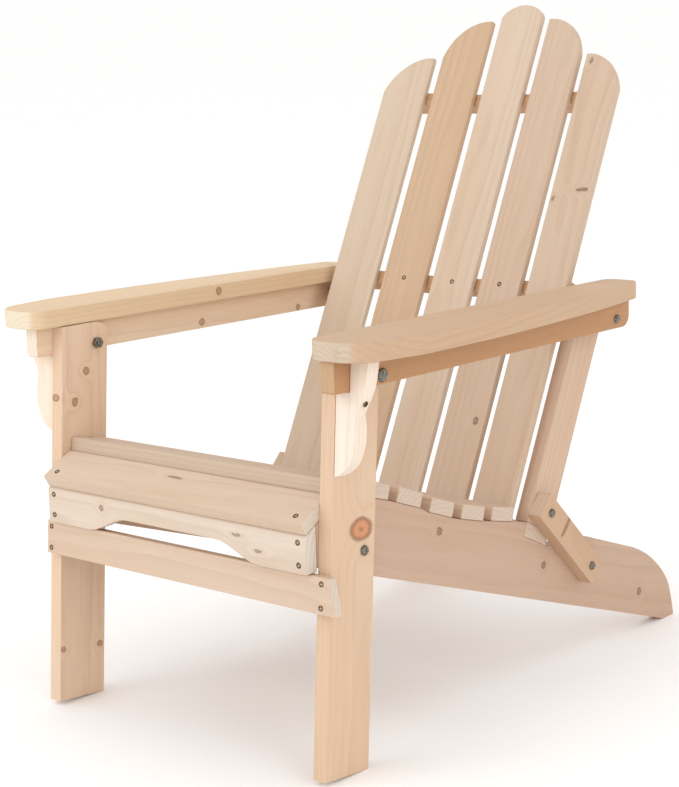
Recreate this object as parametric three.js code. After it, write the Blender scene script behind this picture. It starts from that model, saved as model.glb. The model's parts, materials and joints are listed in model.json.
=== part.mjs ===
import * as THREE from 'three';

// A folding slatted armchair. Millimetres, +Z up, the sitter faces -Y and "left" is the sitter's left, at +X.
// Side outlines are written as [y, z] pairs measured from the front leg's front corner, on the floor.

const gap = 0.3;            // between neighbouring boards
const board = 20;           // thickness of every side board
const seatWidth = 453.2;    // over the stringers' outer faces
const totalDepth = 835;     // nosing to the stringers' rear feet
const nosingReach = 6.7;    // how far the nosing stands in front of the legs' front corner

// The chair's side boards lie in three layers, each beside the next.
const innerLayer = seatWidth / 2 - board;       // stringers and back posts
const middleLayer = seatWidth / 2 + gap;        // front legs and links
const outerLayer = middleLayer + board + gap;   // arm rails

// Pivots, each a bolt along X
const pivots = {
  leg: [81, 272],
  arm: [98, 482],
  back: [605, 484],
  linkFoot: [572, 139],
  linkHead: [474, 235],
};
const boltRadius = 4;
const holeRadius = boltRadius + gap;

// Front legs
const legWidth = 78;
const legLean = THREE.MathUtils.degToRad(4.7);
const legFrontLift = 6.4;   // the square-cut foot stands on its rear corner
const armUnderside = 510;

// Seat
const seatSlatCount = 6;
const seatSlatWidth = 50;
const seatSlatPitch = 64.5;
const seatSlatThickness = 20;
const seatSlatStart = 45.5;
const seatLine = [[0, 363], [70, 358.8], [135, 341.5], [200, 319.5], [264, 293.5], [328, 273.5], [393, 258], [460, 243]];
const nosingClearance = 0.63;   // between the nosing's rear edge and the first slat
const nosingThickness = 18;
const nosingTilt = THREE.MathUtils.degToRad(29.5);
const nosingTop = 319;      // height of its lower, front, top corner
const apronThickness = 20;
const apronBottom = 256;
const apronArch = 22;
const stringerDrop = 268;   // the lower edge's height at y = 0
const footLength = 29;      // the flat under each rear foot
const stringerSlope = stringerDrop / (totalDepth - nosingReach - footLength);

// Backrest
const recline = THREE.MathUtils.degToRad(26);
const backOrigin = [456, 245];
const postWidth = 56;
const postTop = 317;
const backReach = 745.7;    // the middle slat's top, up the slope
const backRailHeight = 19.8;
const backRailTops = { lower: -21.7, middle: postTop, top: backReach - 140.1 };
const lowerRailWidth = 56.7;
const upperRailDepth = 32;
const backSlatCount = 5;
const backSlatThickness = 10;
const backSlatGap = 15.1;   // between neighbouring slats
const backSlatOverhang = 5.8;   // of the outer slats over the posts' fronts
const backHollow = 14;      // how much deeper the back is in the middle than at its outer slats
const backMiddle = 5.4;     // where the middle slat's rear face lies, behind the posts' fronts

// Arms
const armThickness = 24;
const armInner = seatWidth / 2 + 3.4;
const armRailHeight = 38.5;
const armRailFront = 13;
const armRailRear = 637;
const armSetback = { left: 8, right: 0 };   // the arms are screwed on by eye
const bracketThickness = 20;
const bracketSetback = 0.5;

const wood = new THREE.MeshStandardMaterial({ color: 0xdcbf9b, roughness: 0.7 });
const endWood = new THREE.MeshStandardMaterial({ color: 0xd6ad7e, roughness: 0.7 });
const steel = new THREE.MeshStandardMaterial({ color: 0x9a958c, roughness: 0.4, metalness: 0.9 });

const group = new THREE.Group();
group.name = 'folding_armchair';

const shiftY = nosingReach - totalDepth / 2;

function add(name, geometry, material) {
  geometry.translate(0, shiftY, 0);
  const mesh = new THREE.Mesh(geometry, material);
  mesh.name = name;
  group.add(mesh);
}

// Rounds the corners of an outline. Each point is [a, b] or [a, b, radius].
function rounded(points, steps = 6) {
  const out = [];
  points.forEach(([a, b, radius = 0], i) => {
    if (radius === 0) {
      out.push([a, b]);
      return;
    }
    const corner = new THREE.Vector2(a, b);
    const before = points[(i + points.length - 1) % points.length];
    const after = points[(i + 1) % points.length];
    const back = new THREE.Vector2(before[0], before[1]).sub(corner).normalize();
    const on = new THREE.Vector2(after[0], after[1]).sub(corner).normalize();
    const half = Math.acos(back.dot(on)) / 2;
    const centre = back.clone().add(on).normalize().multiplyScalar(radius / Math.sin(half)).add(corner);
    const start = back.clone().multiplyScalar(radius / Math.tan(half)).add(corner).sub(centre);
    const end = on.clone().multiplyScalar(radius / Math.tan(half)).add(corner).sub(centre);
    const from = start.angle();
    let sweep = end.angle() - from;
    if (sweep > Math.PI) sweep -= 2 * Math.PI;
    if (sweep < -Math.PI) sweep += 2 * Math.PI;
    for (let k = 0; k <= steps; k += 1) {
      const angle = from + sweep * k / steps;
      out.push([centre.x + radius * Math.cos(angle), centre.y + radius * Math.sin(angle)]);
    }
  });
  return out;
}

// A smooth curve through points, as an outline section
function smooth(points, steps) {
  const curve = new THREE.SplineCurve(points.map(([a, b]) => new THREE.Vector2(a, b)));
  return curve.getPoints(steps).map((p) => [p.x, p.y]);
}

function extrude(outline, holes, depth) {
  const shape = new THREE.Shape(outline.map(([a, b]) => new THREE.Vector2(a, b)));
  for (const [a, b] of holes) {
    const hole = new THREE.Path();
    hole.absarc(a, b, holeRadius, 0, 2 * Math.PI, true);
    shape.holes.push(hole);
  }
  return new THREE.ExtrudeGeometry(shape, { depth, bevelEnabled: false, curveSegments: 16 });
}

const axisX = new THREE.Vector3(1, 0, 0);
const axisY = new THREE.Vector3(0, 1, 0);
const axisZ = new THREE.Vector3(0, 0, 1);

// A side outline in [y, z], given thickness along X from x
function sideBoard(outline, holes, x, thickness) {
  const geometry = extrude(outline, holes, thickness);
  geometry.applyMatrix4(new THREE.Matrix4().makeBasis(axisY, axisZ, axisX));
  geometry.translate(x, 0, 0);
  return geometry;
}

// The same board on either side: side is +1 at +X and -1 at -X.
function layerBoard(outline, holes, layer, side) {
  const x = side > 0 ? layer : -layer - board;
  return sideBoard(outline, holes, x, board);
}

// A front outline in [x, z], from y to y + depth
function frontBoard(outline, y, depth) {
  const geometry = extrude(outline, [], depth);
  geometry.applyMatrix4(new THREE.Matrix4().makeBasis(axisX, axisZ, axisY.clone().negate()));
  geometry.translate(0, y + depth, 0);
  return geometry;
}

// A point of the backrest: u runs up the slope, v runs rearward through it.
function backPoint(u, v) {
  return [
    backOrigin[0] + u * Math.sin(recline) + v * Math.cos(recline),
    backOrigin[1] + u * Math.cos(recline) - v * Math.sin(recline),
  ];
}

// Leans a piece made upright, with u along Z and v along Y, into the backrest's slope.
function leanBack(geometry) {
  geometry.rotateX(-recline);
  geometry.translate(0, backOrigin[0], backOrigin[1]);
  return geometry;
}

function seatHeight(y) {
  const after = seatLine.findIndex(([at]) => at >= y);
  const [y1, z1] = seatLine[Math.max(after, 1)];
  const [y0, z0] = seatLine[Math.max(after, 1) - 1];
  return z0 + (z1 - z0) * (y - y0) / (y1 - y0);
}

// Where each seat slat lies: its middle, and its slope
const seatSlats = [];
for (let i = 0; i < seatSlatCount; i += 1) {
  const y = seatSlatStart + seatSlatWidth / 2 + i * seatSlatPitch;
  const fall = seatHeight(y + seatSlatWidth / 2) - seatHeight(y - seatSlatWidth / 2);
  seatSlats.push({ y, z: seatHeight(y), tilt: Math.atan2(fall, seatSlatWidth) });
}

// A point of a tilted slat: along its width from its middle, and down from its top face
function slatPoint({ y, z, tilt }, along, down) {
  return [
    y + along * Math.cos(tilt) + down * Math.sin(tilt),
    z + along * Math.sin(tilt) - down * Math.cos(tilt),
  ];
}

// The nosing reaches up to the first slat's lower front corner.
const [slatCornerY, slatCornerZ] = slatPoint(seatSlats[0], -seatSlatWidth / 2, seatSlatThickness);
const nosingWidth = (slatCornerY + nosingReach) * Math.cos(nosingTilt)
  + (slatCornerZ - nosingTop) * Math.sin(nosingTilt) - nosingClearance;
const nosing = {
  y: -nosingReach + nosingWidth / 2 * Math.cos(nosingTilt),
  z: nosingTop + nosingWidth / 2 * Math.sin(nosingTilt),
  tilt: nosingTilt,
};

// Height of the nosing's underside above a place along the chair
function nosingUnderside(y) {
  const [y0, z0] = slatPoint(nosing, 0, nosingThickness);
  return z0 + (y - y0) * Math.tan(nosingTilt);
}

function lowerEdge(y) {
  return stringerDrop - stringerSlope * y;
}

// Stringers: from the apron to the rear foot, with a step for each slat and a notch for the lower back rail
const stringerFront = apronThickness + gap;
const footStart = stringerDrop / stringerSlope;
const footEnd = totalDepth - nosingReach;
const stringerOutline = [];
stringerOutline.push([stringerFront, lowerEdge(stringerFront)]);
stringerOutline.push([footStart, 0], [footEnd, 0]);
stringerOutline.push(...smooth([
  [footEnd, 1.6], [footEnd - 3.3, 17], [footEnd - 13.5, 50], [footEnd - 30.6, 74],
  [footEnd - 57, 98], [footEnd - 86, 117], [footEnd - 115, 130.5],
], 18));
const notchFloor = backRailTops.lower - backRailHeight - gap;
stringerOutline.push([590, 174], backPoint(notchFloor, lowerRailWidth + 3));
stringerOutline.push(backPoint(notchFloor, 0));
stringerOutline.push(backPoint(backRailTops.lower - gap, 0));
const underSlats = [];
for (const slat of seatSlats) {
  const overhang = slat === seatSlats[0] ? -5 : 2;
  underSlats.push(slatPoint(slat, -seatSlatWidth / 2 - overhang, seatSlatThickness + gap));
  underSlats.push(slatPoint(slat, seatSlatWidth / 2 + 2, seatSlatThickness + gap));
}
stringerOutline.push(...underSlats.reverse());
stringerOutline.push(slatPoint(nosing, nosingWidth / 2 + 3, nosingThickness + gap));
stringerOutline.push([stringerFront, nosingUnderside(stringerFront) - gap / Math.cos(nosingTilt)]);

// Front legs
function legFront(z) {
  return (z - legFrontLift) * Math.tan(legLean);
}
const legDepth = legWidth / Math.cos(legLean);
const legRearFoot = legWidth * Math.cos(legLean);
const legTop = armUnderside - gap;
const pivotReach = armUnderside - pivots.arm[1] - 2 * gap;
const legOutline = [[0, legFrontLift], [legRearFoot, 0]];
for (let k = 0; k <= 8; k += 1) {
  const angle = Math.PI * k / 16;
  const y = pivots.arm[0] + pivotReach * Math.cos(angle);
  const z = pivots.arm[1] + pivotReach * Math.sin(angle);
  legOutline.push([Math.min(y, legFront(z) + legDepth), z]);
}
legOutline.push([legFront(legTop - 2 * gap), legTop - 2 * gap]);

// Links: square-ended bars from foot pivot to head pivot
const linkWidth = 38;
const linkEnd = 20;
const linkRun = new THREE.Vector2(
  pivots.linkHead[0] - pivots.linkFoot[0],
  pivots.linkHead[1] - pivots.linkFoot[1],
).normalize();
function linkPoint([y, z], along, across) {
  return [y + linkRun.x * along - linkRun.y * across, z + linkRun.y * along + linkRun.x * across, 3];
}
const linkOutline = rounded([
  linkPoint(pivots.linkFoot, -linkEnd, linkWidth / 2),
  linkPoint(pivots.linkFoot, -linkEnd, -linkWidth / 2),
  linkPoint(pivots.linkHead, linkEnd, -linkWidth / 2),
  linkPoint(pivots.linkHead, linkEnd, linkWidth / 2),
], 3);

// Back posts
const postFoot = backRailTops.lower + gap;
const postOutline = rounded([
  [...backPoint(postFoot, 0)],
  [...backPoint(postFoot, postWidth)],
  [...backPoint(postTop, postWidth), 30],
  [...backPoint(postTop, 0), 12],
]);

// Arm rails, and the arms' plan from the inner front corner round to the inner rear corner
const railTop = armUnderside - gap;
const railBottom = railTop - armRailHeight;
const railOutline = rounded([
  [armRailFront, railBottom, 3],
  [armRailRear, railBottom, 16],
  [armRailRear, railTop, 2],
  [armRailFront, railTop, 2],
]);
const armFront = -4;
const armRear = armRailRear - 5;
const armWaist = armInner + 55;
const armOutline = rounded([
  [armInner, armRear, 16],
  [armInner, armFront, 24],
  [armInner + 79, armFront + 2, 42],
  [armInner + 98, 100],
  ...smooth([
    [armInner + 97.5, 130], [armInner + 95, 269], [armInner + 80, 442], [armInner + 66, 546], [armWaist, 606],
  ], 16),
  [armWaist - 4, armRear, 14],
], 8);

// Arm brackets: gussets across the leg's outer face, stepped under the arm rail
const bracketInner = outerLayer;
const bracketStep = (railBottom - legFrontLift - 2 * gap) / Math.cos(legLean);
const bracketTop = (legTop - legFrontLift - gap) / Math.cos(legLean);
const bracketLobe = [[2, 366], [13, 372], [23.3, 382.5], [30.3, 401.5], [32, 416.5], [31.4, 429.5], [28.8, 439.5]];
const bracketHollow = [[28.8, 439.5], [32.8, 448.5], [38.8, 460.5], [44.8, 478.5], [47.8, bracketTop]];
const bracketOutline = [
  [bracketInner, 364.5],
  ...[...smooth(bracketLobe, 18).slice(0, -1), ...smooth(bracketHollow, 14)].map(([x, z]) => [bracketInner + x, z]),
  [outerLayer + board + gap, bracketTop],
  [outerLayer + board + gap, bracketStep],
  [bracketInner, bracketStep],
];

// Bolts lie along X: a domed head outside, a shank, and a nut inside.
const headHeight = 4;
const nutHeight = 6;
function bolt([y, z], headAt, tipAt, headRadius, side) {
  const length = headAt - tipAt;
  const profile = [
    [0, 0], [boltRadius - 0.6, 0], [boltRadius, 0.8], [boltRadius, length],
    [headRadius, length], [headRadius, length + 1], [headRadius * 0.8, length + 3], [0, length + headHeight],
  ];
  const geometry = new THREE.LatheGeometry(profile.map(([r, x]) => new THREE.Vector2(r, x)), 24);
  geometry.rotateZ(-Math.PI / 2);
  geometry.translate(tipAt, y, z);
  if (side < 0) geometry.rotateZ(Math.PI).translate(0, 2 * y, 0);
  return geometry;
}

function nut([y, z], from, side) {
  const inside = boltRadius + 0.15;
  const hexagon = new THREE.Shape();
  for (let k = 0; k < 6; k += 1) {
    const angle = Math.PI / 3 * k;
    hexagon[k ? 'lineTo' : 'moveTo'](y + 7.5 * Math.cos(angle), z + 7.5 * Math.sin(angle));
  }
  const bore = new THREE.Path();
  bore.absarc(y, z, inside, 0, 2 * Math.PI, true);
  hexagon.holes.push(bore);
  const geometry = new THREE.ExtrudeGeometry(hexagon, { depth: nutHeight, bevelEnabled: false, curveSegments: 16 });
  geometry.applyMatrix4(new THREE.Matrix4().makeBasis(axisY, axisZ, axisX));
  geometry.translate(side > 0 ? from - nutHeight : -from, 0, 0);
  return geometry;
}

// Each side of the chair
for (const [side, hand] of [[1, 'left'], [-1, 'right']]) {
  add(`stringer_${hand}`, layerBoard(stringerOutline, [pivots.leg, pivots.linkFoot], innerLayer, side), wood);
  add(`front_leg_${hand}`, layerBoard(legOutline, [pivots.leg, pivots.arm], middleLayer, side), wood);
  add(`link_${hand}`, layerBoard(linkOutline, [pivots.linkFoot, pivots.linkHead], middleLayer, side), endWood);
  add(`back_post_${hand}`, layerBoard(postOutline, [pivots.linkHead, pivots.back], innerLayer, side), wood);
  add(`arm_rail_${hand}`, layerBoard(railOutline, [pivots.arm, pivots.back], outerLayer, side), endWood);

  const plan = armOutline.map(([x, y]) => [side * x, y]);
  const arm = extrude(side > 0 ? plan : plan.reverse(), [], armThickness);
  arm.translate(0, armSetback[hand], armUnderside);
  add(`arm_${hand}`, arm, wood);

  const face = bracketOutline.map(([x, z]) => [side * x, z]);
  const bracket = frontBoard(side > 0 ? face : face.reverse(), bracketSetback, bracketThickness);
  bracket.rotateX(-legLean);
  bracket.translate(0, 0, legFrontLift);
  add(`arm_bracket_${hand}`, bracket, wood);

  const spacerRing = [];
  for (let k = 0; k < 28; k += 1) {
    const angle = 2 * Math.PI * k / 28;
    spacerRing.push([pivots.back[0] + 15 * Math.cos(angle), pivots.back[1] + 15 * Math.sin(angle)]);
  }
  add(`arm_spacer_${hand}`, layerBoard(spacerRing, [pivots.back], middleLayer, side), endWood);

  const middleFace = middleLayer + board + gap;
  const outerFace = outerLayer + board + gap;
  const innerFace = innerLayer - gap;
  add(`leg_pivot_bolt_${hand}`, bolt(pivots.leg, middleFace, innerFace - nutHeight - 2, 6.5, side), steel);
  add(`leg_pivot_nut_${hand}`, nut(pivots.leg, innerFace, side), steel);
  add(`link_foot_bolt_${hand}`, bolt(pivots.linkFoot, middleFace, innerFace - nutHeight - 2, 6, side), steel);
  add(`link_foot_nut_${hand}`, nut(pivots.linkFoot, innerFace, side), steel);
  add(`arm_pivot_bolt_${hand}`, bolt(pivots.arm, outerFace, middleLayer - gap - nutHeight - 2, 8.5, side), steel);
  add(`arm_pivot_nut_${hand}`, nut(pivots.arm, middleLayer - gap, side), steel);
  add(`link_head_bolt_${hand}`, bolt(pivots.linkHead, middleFace, middleLayer, 6, side), steel);
  add(`back_pivot_bolt_${hand}`, bolt(pivots.back, outerFace, middleLayer, 6, side), steel);
  for (const [name, at] of [['link_head_pin', pivots.linkHead], ['back_pivot_pin', pivots.back]]) {
    const pin = bolt(at, board + gap, 0, 7, -side);
    pin.translate(side * (seatWidth / 2 - gap / 2), 0, 0);
    add(`${name}_${hand}`, pin, steel);
  }
}

// Seat
const seatHalf = seatWidth / 2;
seatSlats.forEach((slat, i) => {
  const outline = rounded([
    slatPoint(slat, -seatSlatWidth / 2, seatSlatThickness),
    slatPoint(slat, seatSlatWidth / 2, seatSlatThickness),
    [...slatPoint(slat, seatSlatWidth / 2, 0), 3],
    [...slatPoint(slat, -seatSlatWidth / 2, 0), 3],
  ], 3);
  add(`seat_slat_${i + 1}`, sideBoard(outline, [], -seatHalf, seatWidth), wood);
});
add('seat_nosing', sideBoard([
  slatPoint(nosing, -nosingWidth / 2, nosingThickness),
  slatPoint(nosing, nosingWidth / 2, nosingThickness),
  slatPoint(nosing, nosingWidth / 2, 0),
  slatPoint(nosing, -nosingWidth / 2, 0),
], [], -seatHalf, seatWidth), wood);

// Apron: its lower edge arches up between the legs, and its top is planed to the nosing's slope.
const apronTop = nosingUnderside(0) - gap / Math.cos(nosingTilt);
const apronLower = [[-seatHalf, apronBottom]];
const archHalf = seatHalf * 0.662;
for (let k = -12; k <= 12; k += 1) {
  const x = k * archHalf / 12;
  const rise = THREE.MathUtils.smoothstep(archHalf - Math.abs(x), 0, 70);
  apronLower.push([x, apronBottom + apronArch * rise]);
}
apronLower.push([seatHalf, apronBottom]);
const apron = frontBoard([...apronLower, [seatHalf, apronTop], [-seatHalf, apronTop]], 0, apronThickness);
const apronPoints = apron.attributes.position;
for (let i = 0; i < apronPoints.count; i += 1) {
  if (apronPoints.getZ(i) > apronTop - 0.01) {
    apronPoints.setZ(i, apronTop + apronPoints.getY(i) * Math.tan(nosingTilt));
  }
}
add('seat_apron', apron, wood);

// Lower front rail, across the legs' front faces: its left end is sawn at a slant.
const frontRailThickness = 13;
const frontRailBottom = 211;
const frontRailTop = apronBottom - 0.8;
const frontRailSetover = 8;     // it sits off the middle, to the sitter's left
const railHalf = middleLayer + board;
const frontRail = frontBoard([
  [frontRailSetover - railHalf, frontRailBottom],
  [frontRailSetover + railHalf + 12, frontRailBottom],
  [frontRailSetover + railHalf, frontRailTop],
  [frontRailSetover - railHalf, frontRailTop],
], -frontRailThickness - gap, frontRailThickness);
frontRail.translate(0, 0, -legFrontLift);
frontRail.rotateX(-legLean);
frontRail.translate(0, 0, legFrontLift);
add('front_rail', frontRail, wood);

// The backrest is hollow: its slats stand on an arc, and the rails behind them are sawn to it.
const backHalf = innerLayer + backSlatOverhang;
const backSlatWidth = (2 * backHalf + backSlatGap) / backSlatCount - backSlatGap;
const backSlatPitch = backSlatWidth + backSlatGap;
const outerSlat = backSlatPitch * (backSlatCount - 1) / 2;
const backRadius = (outerSlat * outerSlat + backHollow * backHollow) / (2 * backHollow);
const railRadius = backRadius + backSlatWidth * backSlatWidth / (8 * backRadius) + gap;
function hollowEdge(half, steps) {
  const points = [];
  for (let k = -steps; k <= steps; k += 1) {
    const x = half * k / steps;
    points.push([x, backMiddle - backRadius + Math.sqrt(railRadius * railRadius - x * x)]);
  }
  return points;
}

// A cross rail's plan in [x, v], given its height up the slope
function crossRail(plan, top) {
  const geometry = extrude(plan, [], backRailHeight);
  geometry.translate(0, 0, top - backRailHeight);
  return leanBack(geometry);
}

const postInner = innerLayer - gap;
add('back_lower_rail', crossRail([
  [-seatHalf, gap], [-postInner, gap], ...hollowEdge(postInner, 16), [postInner, gap], [seatHalf, gap],
  [seatHalf, lowerRailWidth], [-seatHalf, lowerRailWidth],
], backRailTops.lower), wood);
add('back_middle_rail', crossRail([
  ...hollowEdge(postInner, 16), [postInner, upperRailDepth], [-postInner, upperRailDepth],
], backRailTops.middle), endWood);
const topHalf = outerSlat - 4;
add('back_top_rail', crossRail([
  ...hollowEdge(topHalf, 16), [topHalf, upperRailDepth], [-topHalf, upperRailDepth],
], backRailTops.top), endWood);

// Tops of the slats in [across from the slat's inner edge, down from the back's reach], as parts of the width:
// the middle slat's half, then its neighbours outward
const slatTops = [
  [[0, 0], [0.171, 2], [0.314, 6.2], [0.429, 12], [0.5, 19]],
  [[0, 25], [0.257, 27], [0.543, 36], [0.771, 51], [0.914, 67.5], [1, 86]],
  [[0, 86.5], [0.229, 88.5], [0.514, 98], [0.757, 114], [0.914, 130.5], [1, 146]],
];
const slatFoot = backRailTops.lower - backRailHeight;
const footCut = backSlatOverhang + 1.4;     // the outer slats' feet are cut in to stand between the stringers
const footCutTop = -14;
for (let i = -2; i <= 2; i += 1) {
  const half = backSlatWidth / 2;
  const top = smooth(slatTops[Math.abs(i)], 14).map(([across, down]) => [across * backSlatWidth, backReach - down]);
  let outline;
  if (i === 0) {
    const left = top.slice(1).map(([x, u]) => [-x, u]);
    outline = [[-half, slatFoot], [half, slatFoot], ...top.reverse(), ...left];
  } else {
    const cut = Math.abs(i) === 2 ? [[half - footCut, slatFoot], [half - footCut, footCutTop], [half, footCutTop]]
      : [[half, slatFoot]];
    outline = [[-half, slatFoot], ...cut, ...top.map(([x, u]) => [x - half, u]).reverse()];
    if (i < 0) outline = outline.map(([x, u]) => [-x, u]).reverse();
  }
  const slat = frontBoard(outline, backRadius - backSlatThickness, backSlatThickness);
  slat.rotateZ(-i * backSlatPitch / backRadius);
  slat.translate(0, backMiddle - backRadius, 0);
  add(`back_slat_${i + 3}`, leanBack(slat), wood);
}

export default group;
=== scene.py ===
import json
import math
import bmesh
import bpy
from mathutils import Matrix, Vector

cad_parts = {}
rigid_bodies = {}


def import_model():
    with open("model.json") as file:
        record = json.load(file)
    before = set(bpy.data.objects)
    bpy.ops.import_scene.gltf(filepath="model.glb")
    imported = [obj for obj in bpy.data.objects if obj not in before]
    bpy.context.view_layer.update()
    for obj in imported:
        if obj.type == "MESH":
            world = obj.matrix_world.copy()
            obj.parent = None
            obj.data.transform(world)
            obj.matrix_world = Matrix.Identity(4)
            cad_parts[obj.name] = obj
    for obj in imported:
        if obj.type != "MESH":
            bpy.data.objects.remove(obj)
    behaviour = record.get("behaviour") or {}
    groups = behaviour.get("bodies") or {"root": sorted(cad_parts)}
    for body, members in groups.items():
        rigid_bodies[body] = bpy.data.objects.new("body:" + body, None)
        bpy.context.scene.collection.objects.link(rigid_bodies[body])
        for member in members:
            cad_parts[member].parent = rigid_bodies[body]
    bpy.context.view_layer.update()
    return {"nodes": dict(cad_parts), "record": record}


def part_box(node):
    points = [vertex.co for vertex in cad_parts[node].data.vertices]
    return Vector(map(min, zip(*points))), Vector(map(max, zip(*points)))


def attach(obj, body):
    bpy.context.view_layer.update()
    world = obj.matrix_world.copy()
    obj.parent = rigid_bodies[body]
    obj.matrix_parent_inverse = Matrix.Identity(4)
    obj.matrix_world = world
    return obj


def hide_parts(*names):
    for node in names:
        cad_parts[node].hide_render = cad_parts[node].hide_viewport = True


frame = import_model()
print("frame loaded:", len(frame["nodes"]), "nodes")

bodyOf = {}
for bodyName, members in frame["record"]["behaviour"]["bodies"].items():
    for member in members:
        bodyOf[member] = bodyName

# how the boards run: degrees off upright, the stringers' fall per length, the links' run and rise
slopes = {"back": 26, "frontLegs": 4.7, "stringerFall": 0.3353, "linkRun": -0.7143, "linkRise": 0.6998}
backSlope = math.radians(slopes["back"])
legLean = math.radians(slopes["frontLegs"])
stringerFall = math.atan(slopes["stringerFall"])
xAxis = Vector((1, 0, 0))
yAxis = Vector((0, 1, 0))
zAxis = Vector((0, 0, 1))
upBack = Vector((0, math.sin(backSlope), math.cos(backSlope)))
throughBack = Vector((0, math.cos(backSlope), -math.sin(backSlope)))
upLeg = Vector((0, math.sin(legLean), math.cos(legLean)))
alongStringer = Vector((0, math.cos(stringerFall), -math.sin(stringerFall)))
alongLink = Vector((0, slopes["linkRun"], slopes["linkRise"])).normalized()


# small helpers for shader nodes
def addNode(tree, kind, **settings):
    node = tree.nodes.new(kind)
    for key, value in settings.items():
        setattr(node, key, value)
    return node


def feed(tree, value, socket):
    if isinstance(value, bpy.types.NodeSocket):
        tree.links.new(value, socket)
    elif value is not None:
        socket.default_value = value


def calc(tree, operation, a, b=None):
    node = addNode(tree, "ShaderNodeMath", operation=operation)
    feed(tree, a, node.inputs[0])
    feed(tree, b, node.inputs[1])
    return node.outputs[0]


def vecCalc(tree, operation, a, b=None):
    node = addNode(tree, "ShaderNodeVectorMath", operation=operation)
    feed(tree, a, node.inputs[0])
    feed(tree, b, node.inputs[1])
    return node.outputs["Value" if operation in ("LENGTH", "DOT_PRODUCT") else "Vector"]


def blendColour(tree, amount, a, b, kind="MIX"):
    node = addNode(tree, "ShaderNodeMix", data_type="RGBA", blend_type=kind)
    feed(tree, amount, node.inputs["Factor"])
    feed(tree, a, node.inputs["A"])
    feed(tree, b, node.inputs["B"])
    return node.outputs["Result"]


def greyColour(tree, value):
    node = addNode(tree, "ShaderNodeCombineXYZ")
    for socket in node.inputs:
        feed(tree, value, socket)
    return node.outputs[0]


def stretch(tree, value, low, high, toLow=0.0, toHigh=1.0, smooth=True):
    node = addNode(tree, "ShaderNodeMapRange", interpolation_type="SMOOTHSTEP" if smooth else "LINEAR")
    for item, socket in zip((value, low, high, toLow, toHigh), node.inputs):
        feed(tree, item, socket)
    return node.outputs[0]


def noise(tree, vector, scale, detail=2.0, roughness=0.5):
    node = addNode(tree, "ShaderNodeTexNoise")
    feed(tree, vector, node.inputs["Vector"])
    node.inputs["Scale"].default_value = scale
    node.inputs["Detail"].default_value = detail
    node.inputs["Roughness"].default_value = roughness
    return node.outputs


def drawnNoise(tree, vector, scales, detail, roughness=0.5):
    return noise(tree, vecCalc(tree, "MULTIPLY", vector, scales), 1.0, detail, roughness)


def addBump(tree, height, strength, distance, shader):
    bump = addNode(tree, "ShaderNodeBump")
    bump.inputs["Strength"].default_value = strength
    bump.inputs["Distance"].default_value = distance
    feed(tree, height, bump.inputs["Height"])
    feed(tree, bump.outputs["Normal"], shader.inputs["Normal"])


def newGroup(name, inputs, outputs):
    group = bpy.data.node_groups.new(name, "ShaderNodeTree")
    for label, kind, start in inputs:
        socket = group.interface.new_socket(label, in_out="INPUT", socket_type=kind)
        if start is not None:
            socket.default_value = start
    for label in outputs:
        group.interface.new_socket(label, in_out="OUTPUT", socket_type="NodeSocketFloat")
    return group, addNode(group, "NodeGroupInput").outputs, addNode(group, "NodeGroupOutput").inputs


def useGroup(tree, group, **values):
    node = addNode(tree, "ShaderNodeGroup", node_tree=group)
    for key, value in values.items():
        feed(tree, value, node.inputs[key])
    return node.outputs


# growth rings round a pith outside the board: grain on its faces and arcs on its ends
# a noise is its scales in cycles a metre (along the board, across it, into it), detail and roughness
grainLook = {
    "spacing": 0.0065,
    "wander": 0.030, "wanderNoise": ((1.6, 9.0, 9.0), 3.0),
    "lateRise": 2.2, "lateStop": 0.86,     # a ring darkens slowly, then stops short
    "faintest": 0.35, "faintRange": (0.3, 0.75), "faintNoise": ((1.0, 22.0, 22.0), 2.0),
    "fibreNoise": ((14.0, 620.0, 620.0), 3.0, 0.6),
    "patchNoise": ((2.4, 16.0, 16.0), 3.0),
    "fleckRange": (0.66, 0.80), "fleckNoise": ((45.0, 900.0, 900.0), 1.0),
}
noiseMiddle = (0.5, 0.5, 0.5)     # the grey that a noise's colours lie round


def makeGrainGroup():
    look = grainLook
    group, given, result = newGroup("growthRings", [
        ("Board", "NodeSocketVector", None), ("Pith", "NodeSocketVector", None),
        ("Seed", "NodeSocketVector", None), ("Spacing", "NodeSocketFloat", look["spacing"]),
        ("Bend", "NodeSocketFloat", 0.0)], ["Rings", "Fibre", "Patch", "Fleck"])
    board = given["Board"]
    seeded = vecCalc(group, "ADD", board, given["Seed"])
    slow = drawnNoise(group, seeded, *look["wanderNoise"])["Color"]
    wander = vecCalc(group, "SUBTRACT", slow, noiseMiddle)
    wander = vecCalc(group, "MULTIPLY", wander, (0.0, look["wander"], look["wander"]))
    centred = vecCalc(group, "ADD", vecCalc(group, "ADD", board, given["Pith"]), wander)
    across = vecCalc(group, "MULTIPLY", centred, (0.0, 1.0, 1.0))
    far = calc(group, "ADD", vecCalc(group, "LENGTH", across), given["Bend"])
    ring = calc(group, "FRACT", calc(group, "DIVIDE", far, given["Spacing"]))
    rise = calc(group, "POWER", ring, look["lateRise"])
    fall = stretch(group, ring, look["lateStop"], 1.0, 1.0, 0.0)
    faint = drawnNoise(group, seeded, *look["faintNoise"])["Fac"]
    strength = stretch(group, faint, *look["faintRange"], look["faintest"], 1.0)
    feed(group, calc(group, "MULTIPLY", calc(group, "MULTIPLY", rise, fall), strength), result["Rings"])
    feed(group, drawnNoise(group, seeded, *look["fibreNoise"])["Fac"], result["Fibre"])
    feed(group, drawnNoise(group, seeded, *look["patchNoise"])["Fac"], result["Patch"])
    short = drawnNoise(group, seeded, *look["fleckNoise"])["Fac"]
    feed(group, stretch(group, short, *look["fleckRange"]), result["Fleck"])
    return group


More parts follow.
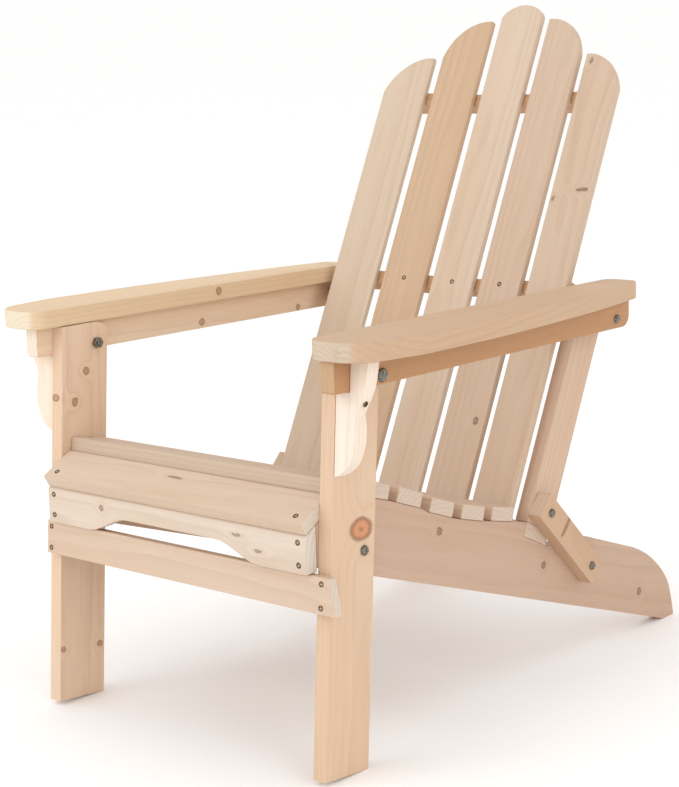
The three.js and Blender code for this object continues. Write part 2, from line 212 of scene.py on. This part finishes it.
# a knot: a round or oval plug with a dark rim and a dark heart, which the rings bend round
# pairs are where a part begins and ends, in shares of the knot's own size
knotLook = {
    "ragged": 0.004, "raggedScale": 160.0,
    "plug": (0.82, 1.08), "rimIn": (0.55, 0.95), "rimOut": (0.98, 1.25), "halo": (0.9, 3.4),
    "heart": (0.06, 0.34), "heartDepth": 0.75,
    "bend": 0.011, "bendFade": -0.22,
}


def makeKnotGroup():
    look = knotLook
    group, given, result = newGroup("knot", [
        ("Board", "NodeSocketVector", None), ("Centre", "NodeSocketVector", None),
        ("Size", "NodeSocketVector", None)], ["Plug", "Rim", "Bend", "Halo"])
    off = vecCalc(group, "SUBTRACT", given["Board"], given["Centre"])
    rough = noise(group, given["Board"], look["raggedScale"])["Color"]
    rough = vecCalc(group, "SUBTRACT", rough, noiseMiddle)
    off = vecCalc(group, "ADD", off, vecCalc(group, "MULTIPLY", rough, (look["ragged"],) * 3))
    reach = vecCalc(group, "LENGTH", vecCalc(group, "DIVIDE", off, given["Size"]))
    feed(group, stretch(group, reach, *look["plug"], 1.0, 0.0), result["Plug"])
    rimIn = stretch(group, reach, *look["rimIn"])
    rimOut = stretch(group, reach, *look["rimOut"], 1.0, 0.0)
    heart = stretch(group, reach, *look["heart"], look["heartDepth"], 0.0)
    feed(group, calc(group, "MAXIMUM", calc(group, "MULTIPLY", rimIn, rimOut), heart), result["Rim"])
    squared = calc(group, "MULTIPLY", reach, reach)
    swell = calc(group, "EXPONENT", calc(group, "MULTIPLY", squared, look["bendFade"]))
    feed(group, calc(group, "MULTIPLY", swell, look["bend"]), result["Bend"])
    feed(group, stretch(group, reach, *look["halo"], 1.0, 0.0), result["Halo"])
    return group


grainGroup = makeGrainGroup()
knotGroup = makeKnotGroup()

woodLook = {
    "pale": (0.760, 0.585, 0.440, 1),
    "late": (0.520, 0.320, 0.190, 1),
    "warm": (0.700, 0.475, 0.310, 1),
    "endGrain": (0.760, 0.640, 0.520, 1),
    "knot": (0.330, 0.155, 0.070, 1),
    "knotRim": (0.150, 0.065, 0.030, 1),
    "ringDepth": 0.42, "patchDepth": 0.45, "patchRange": (0.3, 0.72), "fleckDepth": 0.22,
    "fibreRange": (0.25, 0.75), "fibreShade": (0.94, 1.05),
    "haloDepth": 0.22, "plugDepth": 0.6, "ownPlugDepth": 0.9, "rimDepth": 0.55,
    "sawnRange": (0.75, 0.95), "sawnDepth": 0.85, "sawnRings": 0.55,
    "roughRange": (0.2, 0.8), "roughness": (0.55, 0.72), "specular": 0.35,
    "bumpStrength": 0.5, "bumpDistance": 0.0006, "ringBump": 0.5, "fibreBump": 0.6,
    # each board is cut from another place in the log
    "seedStep": (0.37, 0.113, 0.091), "pithAside": 0.018, "pithDeep": 0.045, "pithDeeper": 0.012,
}


def boardFrame(along, face):
    across = face.cross(along).normalized()
    face = along.cross(across).normalized()
    return Matrix((along, across, face))


def boardMaterial(node, number):
    look = woodLook
    along, face = directionsOf(node)
    low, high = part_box(node)
    centre = (Vector(low) + Vector(high)) / 2
    material = bpy.data.materials.new(node + "_wood")
    material.use_nodes = True
    tree = material.node_tree
    tree.nodes.clear()
    turn = boardFrame(along, face)
    place = addNode(tree, "ShaderNodeMapping", vector_type="POINT")
    place.inputs["Rotation"].default_value = turn.to_euler("XYZ")
    place.inputs["Location"].default_value = -(turn @ centre)
    feed(tree, addNode(tree, "ShaderNodeTexCoord").outputs["Object"], place.inputs["Vector"])
    board = place.outputs["Vector"]
    stepX, stepY, stepZ = look["seedStep"]
    seed = Vector((stepX * number, stepY * (number * 7 % 11), stepZ * (number * 5 % 13)))
    pithDepth = look["pithDeep"] + look["pithDeeper"] * (number % 4)
    pith = Vector((0.0, look["pithAside"] * ((number * 3) % 5 - 2), pithDepth))

    plugs, rims, halos, bend = [], [], [], 0.0
    for at, size in boardLook["knots"].get(node, ()):
        knotPlace = turn @ (Vector(at) - centre)
        knot = useGroup(tree, knotGroup, Board=board, Centre=knotPlace, Size=Vector(size))
        plugs.append(knot["Plug"])
        rims.append(knot["Rim"])
        halos.append(knot["Halo"])
        bend = calc(tree, "ADD", bend, knot["Bend"])
    grain = useGroup(tree, grainGroup, Board=board, Pith=pith, Seed=seed, Spacing=grainLook["spacing"],
                     Bend=bend)
    rings = grain["Rings"]

    warmth = boardLook["warmth"].get(node, boardLook["plainWarmth"])
    base = blendColour(tree, warmth, look["pale"], look["warm"])
    patch = stretch(tree, grain["Patch"], *look["patchRange"])
    base = blendColour(tree, calc(tree, "MULTIPLY", patch, look["patchDepth"]), base, look["warm"])
    colour = blendColour(tree, calc(tree, "MULTIPLY", rings, look["ringDepth"]), base, look["late"])
    fibre = stretch(tree, grain["Fibre"], *look["fibreRange"], *look["fibreShade"], smooth=False)
    colour = blendColour(tree, 1.0, colour, greyColour(tree, fibre), "MULTIPLY")
    fleck = calc(tree, "MULTIPLY", grain["Fleck"], look["fleckDepth"])
    colour = blendColour(tree, fleck, colour, look["late"])
    ownPlug = boardLook["plugColour"].get(node)
    plugDepth = look["ownPlugDepth" if ownPlug else "plugDepth"]
    for plug, rim, halo in zip(plugs, rims, halos):
        colour = blendColour(tree, calc(tree, "MULTIPLY", halo, look["haloDepth"]), colour, look["warm"])
        colour = blendColour(tree, calc(tree, "MULTIPLY", plug, plugDepth), colour, ownPlug or look["knot"])
        colour = blendColour(tree, calc(tree, "MULTIPLY", rim, look["rimDepth"]), colour, look["knotRim"])

    # sawn ends are a little greyer and show the rings as arcs
    facing = vecCalc(tree, "DOT_PRODUCT", addNode(tree, "ShaderNodeTexCoord").outputs["Normal"], along)
    sawn = stretch(tree, calc(tree, "ABSOLUTE", facing), *look["sawnRange"])
    sawnRings = calc(tree, "MULTIPLY", rings, look["sawnRings"])
    sawnColour = blendColour(tree, sawnRings, look["endGrain"], look["late"])
    colour = blendColour(tree, calc(tree, "MULTIPLY", sawn, look["sawnDepth"]), colour, sawnColour)
    # the board's colour multiplier: its own tone, and for three arm boards also painted light and painted
    # shade
    toneAndPaintedLight = boardLook["toneAndPaintedLight"].get(node, boardLook["plainTint"])
    colour = blendColour(tree, 1.0, colour, (*toneAndPaintedLight, 1), "MULTIPLY")

    shader = addNode(tree, "ShaderNodeBsdfPrincipled")
    feed(tree, colour, shader.inputs["Base Color"])
    rough = stretch(tree, grain["Fibre"], *look["roughRange"], *look["roughness"])
    feed(tree, rough, shader.inputs["Roughness"])
    shader.inputs["Specular IOR Level"].default_value = look["specular"]
    height = calc(tree, "ADD", calc(tree, "MULTIPLY", rings, look["ringBump"]),
                  calc(tree, "MULTIPLY", grain["Fibre"], look["fibreBump"]))
    for rim in rims:
        height = calc(tree, "SUBTRACT", height, rim)
    addBump(tree, height, look["bumpStrength"], look["bumpDistance"], shader)
    feed(tree, shader.outputs["BSDF"], addNode(tree, "ShaderNodeOutputMaterial").inputs["Surface"])
    return material


def frameObject(node):
    return bpy.data.objects[node]


# every CAD board is replaced by a copy with its edges eased
def easedBoard(node, ease):
    mesh = frameObject(node).data.copy()
    mesh.name = node + "_eased"
    bm = bmesh.new()
    bm.from_mesh(mesh)
    bmesh.ops.remove_doubles(bm, verts=bm.verts, dist=boardLook["merge"])
    flat = math.radians(boardLook["flatWithin"])
    bmesh.ops.dissolve_limit(bm, angle_limit=flat, verts=bm.verts, edges=bm.edges)
    corner = math.radians(boardLook["cornerFrom"])
    sharp = [e for e in bm.edges if len(e.link_faces) == 2 and e.calc_face_angle(0) > corner]
    bmesh.ops.bevel(bm, geom=sharp, offset=ease, offset_type="OFFSET", segments=boardLook["easeSteps"],
                    profile=0.5, affect="EDGES", clamp_overlap=True, material=-1)
    for face in bm.faces:
        face.smooth = True
    bm.to_mesh(mesh)
    bm.free()
    mesh.materials.clear()
    piece = bpy.data.objects.new(node + "_board", mesh)
    bpy.context.scene.collection.objects.link(piece)
    mesh.set_sharp_from_angle(angle=math.radians(boardLook["shadeFrom"]))
    weighted = piece.modifiers.new("evenNormals", "WEIGHTED_NORMAL")
    weighted.keep_sharp = True
    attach(piece, bodyOf[node])
    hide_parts(node)
    return piece


boardLook = {
    "easeBroad": 0.0016,
    "easeSmall": 0.0010,
    "easeSteps": 2,
    "merge": 1e-6,
    "flatWithin": 0.5, "cornerFrom": 32, "shadeFrom": 36,     # degrees
    "firstCut": 3,     # the first board's place in the log
    # node: how reddish the board is
    "plainWarmth": 0.25,
    "warmth": {
        "back_slat_1": 0.10, "back_slat_2": 0.60, "back_slat_3": 0.05, "back_slat_4": 0.35,
        "back_slat_5": 0.28,
        "front_leg_left": 0.40, "front_leg_right": 0.25, "stringer_left": 0.45, "stringer_right": 0.40,
        "arm_left": 0.75, "arm_right": 0.70, "arm_rail_left": 0.95, "arm_rail_right": 0.40,
        "back_post_left": 0.30, "back_post_right": 0.35, "seat_nosing": 0.30, "seat_apron": 0.05,
        "back_top_rail": 0.7, "back_middle_rail": 0.8, "arm_bracket_left": 0.0, "arm_bracket_right": 0.0,
    },
    # node: its colour beside the plain board's, as a multiplier; on three arm boards it is also painted
    # light: arm_right and arm_rail_right are lightened where their faces sit in shade, and arm_rail_left is
    # darkened and reddened as painted shade under the arm
    "toneAndPaintedLight": {
        "seat_apron": (0.90, 0.99, 1.10), "seat_nosing": (0.85, 0.90, 0.95),
        "front_rail": (0.86, 0.88, 0.92),
        "front_leg_left": (0.94, 0.93, 0.92), "front_leg_right": (0.99, 0.99, 0.99),
        "arm_bracket_left": (1.12, 1.28, 1.46), "arm_bracket_right": (1.10, 1.22, 1.34),
        "back_slat_1": (0.82, 0.87, 0.89), "back_slat_2": (0.79, 0.78, 0.74),
        "back_slat_3": (0.84, 0.87, 0.90), "back_slat_4": (0.80, 0.82, 0.86),
        "back_slat_5": (0.81, 0.83, 0.86),
        "stringer_left": (0.74, 0.70, 0.72), "stringer_right": (0.76, 0.74, 0.76),
        # arm_right, arm_rail_right: lightened, painted light on shaded faces; arm_rail_left: darkened and
        # reddened, painted shade under the arm
        "arm_left": (0.78, 0.76, 0.73), "arm_right": (1.00, 1.06, 1.02),
        "arm_rail_left": (0.69, 0.55, 0.41), "arm_rail_right": (1.06, 1.14, 1.18),
        "link_left": (0.77, 0.69, 0.63), "link_right": (0.77, 0.70, 0.64),
        "seat_slat_1": (0.76, 0.78, 0.80),
        "back_middle_rail": (0.80, 0.68, 0.54), "back_top_rail": (0.84, 0.74, 0.62),
        "back_post_left": (0.84, 0.82, 0.83), "back_post_right": (0.84, 0.80, 0.78),
    },
    "plainTint": (0.80, 0.78, 0.78),
    "plugColour": {"front_leg_left": (0.640, 0.270, 0.130, 1)},
    # node: [(place, size along the board, across it and into it)]
    "knots": {
        "front_leg_right": [((-0.2269, -0.3333, 0.4461), (0.0048, 0.0052, 0.01)),
                            ((-0.2269, -0.3555, 0.4076), (0.0055, 0.0050, 0.01)),
                            ((-0.2393, -0.3772, 0.4153), (0.0050, 0.0035, 0.006)),
                            ((-0.2269, -0.3352, 0.0684), (0.0040, 0.0045, 0.008)),
                            ((-0.2269, -0.4000, 0.0766), (0.0036, 0.0040, 0.006))],
        "front_leg_left": [((0.2469, -0.3340, 0.2989), (0.0135, 0.0190, 0.012))],
        "arm_right": [((-0.2300, -0.0726, 0.5240), (0.0055, 0.0060, 0.0055)),
                      ((-0.3000, -0.4140, 0.5150), (0.004, 0.004, 0.004))],
        "arm_rail_right": [((-0.2472, -0.0922, 0.4800), (0.0055, 0.0050, 0.008)),
                           ((-0.2472, 0.1139, 0.4768), (0.0045, 0.0045, 0.008))],
        "back_slat_5": [((0.1960, 0.2276, 0.6539), (0.0035, 0.0120, 0.01)),
                        ((0.1440, 0.2228, 0.6440), (0.0035, 0.0028, 0.008)),
                        ((0.1500, 0.3148, 0.8327), (0.0045, 0.0028, 0.008))],
        "back_slat_4": [((0.1080, 0.0775, 0.3462), (0.0060, 0.0050, 0.01))],
        "stringer_left": [((0.2266, -0.1572, 0.2543), (0.0050, 0.0050, 0.008)),
                          ((0.2266, 0.0727, 0.1570), (0.0050, 0.0050, 0.008)),
                          ((0.2266, 0.3196, 0.0597), (0.0055, 0.0055, 0.008))],
        "arm_left": [((0.2782, -0.4090, 0.5205), (0.005, 0.005, 0.009))],
        "link_left": [((0.2469, 0.0979, 0.2081), (0.0030, 0.0150, 0.006))],
        "seat_apron": [((-0.1236, -0.4108, 0.2887), (0.0035, 0.0040, 0.006)),
                       ((0.1161, -0.4108, 0.2890), (0.0070, 0.0018, 0.006)),
                       ((0.1512, -0.4108, 0.2740), (0.0060, 0.0018, 0.006))],
        "seat_nosing": [((-0.0123, -0.3842, 0.3378), (0.0120, 0.0018, 0.006)),
                        ((-0.1169, -0.3679, 0.3471), (0.0120, 0.0018, 0.006))],
    },
}


def directionsOf(node):
    if node.startswith("stringer"):
        return alongStringer, xAxis
    if node.startswith("front_leg"):
        return upLeg, xAxis
    if node.startswith("link"):
        return alongLink, xAxis
    if node.startswith("back_post"):
        return upBack, xAxis
    if node.startswith("arm_rail"):
        return yAxis, xAxis
    if node.startswith("arm_bracket"):
        return upLeg, yAxis
    if node.startswith("arm_spacer"):
        return xAxis, zAxis
    if node.startswith("arm"):
        return yAxis, zAxis
    if node.startswith("back_slat"):
        return upBack, -throughBack
    if node == "back_lower_rail":
        return xAxis, upBack
    if node.startswith("back"):
        return xAxis, -throughBack
    if node in ("seat_apron", "front_rail"):
        return xAxis, -yAxis
    return xAxis, zAxis


boards = [n for n in bodyOf if not any(word in n for word in ("bolt", "nut", "_pin_"))]
for number, node in enumerate(sorted(boards), boardLook["firstCut"]):
    small = "rail" in node or "spacer" in node
    piece = easedBoard(node, boardLook["easeSmall" if small else "easeBroad"])
    piece.data.materials.append(boardMaterial(node, number))
print("boards eased:", len(boards))


# zinc-plated bolts and brassy wood screws, a little stained
metalLook = {
    "zinc": {"colour": (0.36, 0.34, 0.30, 1), "dark": (0.10, 0.09, 0.07, 1), "roughness": 0.36},
    "brass": {"colour": (0.30, 0.21, 0.10, 1), "dark": (0.08, 0.050, 0.022, 1), "roughness": 0.45},
}
stainLook = {
    "noise": (420.0, 3.0, 0.6), "range": (0.35, 0.7), "dull": 0.2, "metallic": 0.9,
    "bumpStrength": 0.2, "bumpDistance": 0.0002,
}


def metalMaterial(name):
    look = metalLook[name]
    material = bpy.data.materials.new(name)
    material.use_nodes = True
    tree = material.node_tree
    shader = tree.nodes["Principled BSDF"]
    place = addNode(tree, "ShaderNodeTexCoord").outputs["Object"]
    stain = stretch(tree, noise(tree, place, *stainLook["noise"])["Fac"], *stainLook["range"])
    feed(tree, blendColour(tree, stain, look["dark"], look["colour"]), shader.inputs["Base Color"])
    rough = stretch(tree, stain, 0.0, 1.0, look["roughness"] + stainLook["dull"], look["roughness"])
    feed(tree, rough, shader.inputs["Roughness"])
    shader.inputs["Metallic"].default_value = stainLook["metallic"]
    addBump(tree, stain, stainLook["bumpStrength"], stainLook["bumpDistance"], shader)
    return material


zinc = metalMaterial("zinc")
brass = metalMaterial("brass")
for node in bodyOf:
    if node not in boards:
        thing = frameObject(node)
        thing.data.materials.clear()
        thing.data.materials.append(zinc)


# wood screws: a round head with a cross recess and a short skirt that stands in the board
screwLook = {
    "radius": 0.0036, "rise": 0.0003, "skirt": 0.0012, "recess": 0.0012,
    "crossWidth": 0.2, "crossReach": 0.66,     # shares of the radius
    "squares": 5,
    "firstTurn": 0.3, "nextTurn": 0.7,     # radians
}


def addScrew(bm, place, out, turn):
    radius = screwLook["radius"]
    squares = screwLook["squares"]
    verts = bmesh.ops.create_grid(bm, x_segments=squares, y_segments=squares, size=radius)["verts"]
    for v in verts:     # each square ring of the grid is drawn in to a circle
        v.co = v.co.normalized() * max(abs(v.co.x), abs(v.co.y))
    faces, rim, cross = [], [], []
    for v in verts:
        faces += [f for f in v.link_faces if f not in faces]
        rim += [e for e in v.link_edges if len(e.link_faces) == 1 and e not in rim]
    for face in faces:
        middle = face.calc_center_median()
        narrow = min(abs(middle.x), abs(middle.y)) < radius * screwLook["crossWidth"]
        if narrow and middle.length < radius * screwLook["crossReach"]:
            cross.append(face)
    skirt = bmesh.ops.extrude_edge_only(bm, edges=rim)
    skirtVerts = [g for g in skirt["geom"] if isinstance(g, bmesh.types.BMVert)]
    bmesh.ops.translate(bm, verts=skirtVerts, vec=(0, 0, -screwLook["skirt"]))
    sunk = bmesh.ops.extrude_face_region(bm, geom=cross)
    sunkVerts = [g for g in sunk["geom"] if isinstance(g, bmesh.types.BMVert)]
    bmesh.ops.delete(bm, geom=cross, context="FACES_ONLY")
    bmesh.ops.translate(bm, verts=sunkVerts, vec=(0, 0, -screwLook["recess"]))
    everything = verts + skirtVerts + sunkVerts
    aim = Vector(out).to_track_quat("Z", "Y").to_matrix().to_4x4()
    spin = Matrix.Rotation(turn, 4, "Z")
    lift = Vector(out).normalized() * screwLook["rise"]
    bmesh.ops.transform(bm, matrix=Matrix.Translation(Vector(place) + lift) @ aim @ spin, verts=everything)


def screwSet(name, body, places):
    bm = bmesh.new()
    for k, (place, out) in enumerate(places):
        addScrew(bm, place, out, screwLook["firstTurn"] + screwLook["nextTurn"] * k)
    mesh = bpy.data.meshes.new(name)
    bmesh.ops.recalc_face_normals(bm, faces=bm.faces)
    bm.to_mesh(mesh)
    bm.free()
    mesh.materials.append(brass)
    piece = bpy.data.objects.new(name, mesh)
    bpy.context.scene.collection.objects.link(piece)
    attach(piece, body)


def mirrored(places):
    return places + [((-p[0], p[1], p[2]), (-o[0], o[1], o[2])) for p, o in places]


# the back slats stand on an arc; heights go up the back from its base point (y, z)
backScrews = {
    "base": (0.0452, 0.245), "heights": (0.3068, -0.0315),
    "slatBack": 0.0054, "slatThickness": 0.010, "arcRadius": 1.112,
}
slatScrews = []
for number in range(1, 6):
    low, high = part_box("back_slat_%d" % number)
    aside = (low.x + high.x) / 2
    turned = math.atan2(aside, backScrews["arcRadius"])
    out = -(throughBack * math.cos(turned) + xAxis * math.sin(turned))
    depth = backScrews["slatBack"] - backScrews["arcRadius"] * (1 - math.cos(turned))
    middle = Vector((aside, *backScrews["base"]))
    middle += throughBack * depth + out * backScrews["slatThickness"]
    for height in backScrews["heights"]:
        slatScrews.append((tuple(middle + upBack * height), tuple(out)))
screwSet("backrest_screws", "backrest", slatScrews)

seatLook = {
    "apron": [(0.2150, 0.2945), (0.2155, 0.2670)],     # aside, height
    "nosingSlope": 29.5, "nosingBottom": 0.319, "nosingUp": 0.012, "nosingAside": 0.2100,
    "slatTilts": [-0.165, -0.295, -0.356, -0.346, -0.265, -0.222],     # radians, front to back
    "slatHalf": 0.010, "slatAside": 0.2166,
}
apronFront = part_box("seat_apron")[0][1]
nosingSlope = math.radians(seatLook["nosingSlope"])
nosingOut = Vector((0, -math.sin(nosingSlope), math.cos(nosingSlope)))
nosingAlong = Vector((0, math.cos(nosingSlope), math.sin(nosingSlope)))
nosingSpot = Vector((0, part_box("seat_nosing")[0][1], seatLook["nosingBottom"]))
nosingSpot += nosingAlong * seatLook["nosingUp"]
seatScrews = [((aside, apronFront, height), (0, -1, 0)) for aside, height in seatLook["apron"]]
seatScrews.append(((seatLook["nosingAside"], nosingSpot.y, nosingSpot.z), tuple(nosingOut)))
seatScrews = mirrored(seatScrews)
for number, tilt in enumerate(seatLook["slatTilts"], 1):
    low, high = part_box("seat_slat_%d" % number)
    out = Vector((0, -math.sin(tilt), math.cos(tilt)))
    middle = (Vector(low) + Vector(high)) / 2 + out * seatLook["slatHalf"]
    seatScrews += mirrored([((seatLook["slatAside"], middle.y, middle.z), tuple(out))])
screwSet("seat_screws", "seat_frame", seatScrews)

legLook = {
    "base": (-0.4108, 0.0064), "railFront": 0.0133,
    "railHeights": (0.2410, 0.2125), "railAside": (0.2440, -0.2310),
    # place and outward direction of the two screws in the left bracket
    "bracket": [((0.2836, -0.3625, 0.4566), (0.90, 0, -0.43)),
                ((0.2746, -0.3675, 0.3985), (0.94, 0, -0.34))],
}
legOut = Vector((0, -math.cos(legLean), math.sin(legLean)))
railFace = Vector((0, *legLook["base"])) + legOut * legLook["railFront"]
legScrews = []
for height in legLook["railHeights"]:
    spot = railFace + upLeg * height
    for aside in legLook["railAside"]:
        legScrews.append(((aside, spot.y, spot.z), tuple(legOut)))
legScrews += mirrored(legLook["bracket"])
screwSet("front_legs_screws", "front_legs", legScrews)
print("screws set")


def addLamp(name, place, target, size, power, colour):
    lamp = bpy.data.lights.new(name, "AREA")
    lamp.shape = "RECTANGLE"
    lamp.size, lamp.size_y = size
    lamp.energy = power
    lamp.color = colour
    thing = bpy.data.objects.new(name, lamp)
    thing.location = place
    thing.rotation_mode = "QUATERNION"
    thing.rotation_quaternion = (Vector(target) - Vector(place)).to_track_quat("-Z", "Y")
    bpy.context.scene.collection.objects.link(thing)


floorLook = {"reach": 60.0, "colour": (0.985, 0.985, 0.985, 1), "roughness": 0.9}

bm = bmesh.new()
bmesh.ops.create_grid(bm, x_segments=1, y_segments=1, size=floorLook["reach"])
floorMesh = bpy.data.meshes.new("floor")
bm.to_mesh(floorMesh)
bm.free()
floor = bpy.data.objects.new("floor", floorMesh)
bpy.context.scene.collection.objects.link(floor)
paper = bpy.data.materials.new("studioPaper")
paper.use_nodes = True
paperShader = paper.node_tree.nodes["Principled BSDF"]
paperShader.inputs["Base Color"].default_value = floorLook["colour"]
paperShader.inputs["Roughness"].default_value = floorLook["roughness"]
floorMesh.materials.append(paper)

lightLook = {
    "sky": 1.02, "seenSky": 1.0, "skyColour": (1.0, 0.995, 0.99, 1),
    # name, place, target, size, power, colour
    "lamps": [
        ("frontLight", (-1.2, -3.6, 2.3), (0, 0, 0.4), (2.6, 2.2), 34, (1.0, 0.99, 0.975)),
        ("sideLight", (3.6, -1.0, 1.8), (0, 0, 0.4), (2.2, 2.0), 20, (1.0, 0.98, 0.96)),
        ("topLight", (0.2, 0.6, 3.4), (0, 0, 0.3), (3.0, 3.0), 4, (1.0, 1.0, 1.0)),
    ],
}
world = bpy.data.worlds.new("studio")
bpy.context.scene.world = world
world.use_nodes = True
sky = world.node_tree.nodes["Background"]
sky.inputs["Color"].default_value = lightLook["skyColour"]
seen = addNode(world.node_tree, "ShaderNodeLightPath").outputs["Is Camera Ray"]
strength = stretch(world.node_tree, seen, 0.0, 1.0, lightLook["sky"], lightLook["seenSky"])
feed(world.node_tree, strength, sky.inputs["Strength"])
for lampSettings in lightLook["lamps"]:
    addLamp(*lampSettings)

cameraLook = {
    "place": (1.5958, -1.9201, 0.8417),
    "right": (0.75849, 0.65102, -0.02941),
    "up": (-0.09582, 0.15605, 0.98309),
    "ahead": (-0.64460, 0.74285, -0.18074),
    "sensor": 36, "lens": 83.216, "shiftUp": 0.0032, "farthest": 100,
}
camera = bpy.data.objects.new("camera", bpy.data.cameras.new("camera"))
bpy.context.scene.collection.objects.link(camera)
bpy.context.scene.camera = camera
aim = Matrix((cameraLook["right"], cameraLook["up"], -Vector(cameraLook["ahead"]))).transposed().to_4x4()
camera.matrix_world = Matrix.Translation(cameraLook["place"]) @ aim
camera.data.sensor_width = cameraLook["sensor"]
camera.data.lens = cameraLook["lens"]
camera.data.shift_y = cameraLook["shiftUp"]
camera.data.clip_end = cameraLook["farthest"]

scene = bpy.context.scene
scene.render.engine = "CYCLES"
scene.view_settings.view_transform = "Standard"
scene.view_settings.look = "None"
scene.view_settings.exposure = 0.0

print("scene ready")
